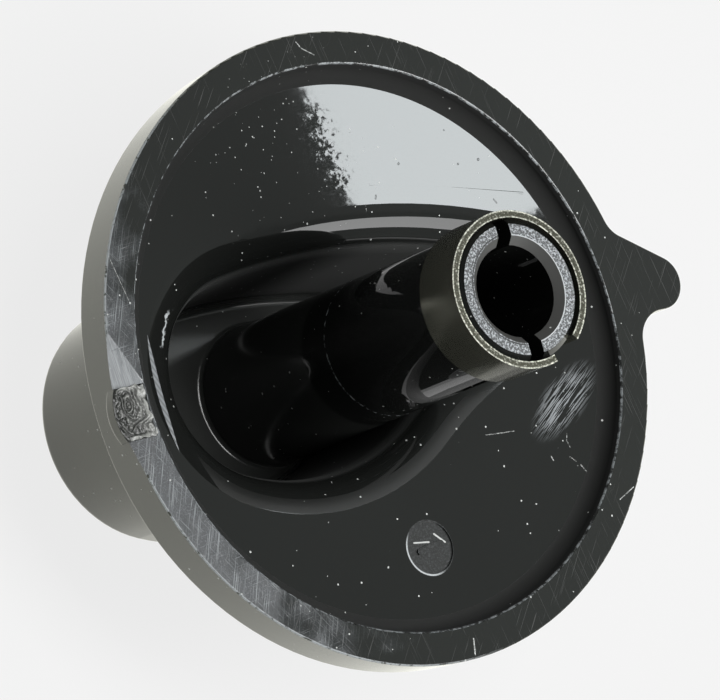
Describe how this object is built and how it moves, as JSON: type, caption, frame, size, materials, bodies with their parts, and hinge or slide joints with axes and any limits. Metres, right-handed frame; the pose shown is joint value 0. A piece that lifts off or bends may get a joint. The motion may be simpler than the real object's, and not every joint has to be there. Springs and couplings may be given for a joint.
{
  "type": "control knob",
  "caption": "Oven control knob with a comma shaped hollow grip, round skirt with a pointer nub, and a split shaft boss held by a spring clip.",
  "frame": {"origin": "on the shaft axis, at the grip's flat front face", "axes": "+Z along the shaft axis towards the boss's mouth, +X towards the pointer nub"},
  "size_m": [0.0466, 0.042, 0.032],
  "materials": {
    "black_plastic": "gloss",
    "spring_steel": "satin"
  },
  "bodies": {
    "root": {"knob_body": "black_plastic", "spring_clip": "spring_steel"}
  },
  "joints": []
}
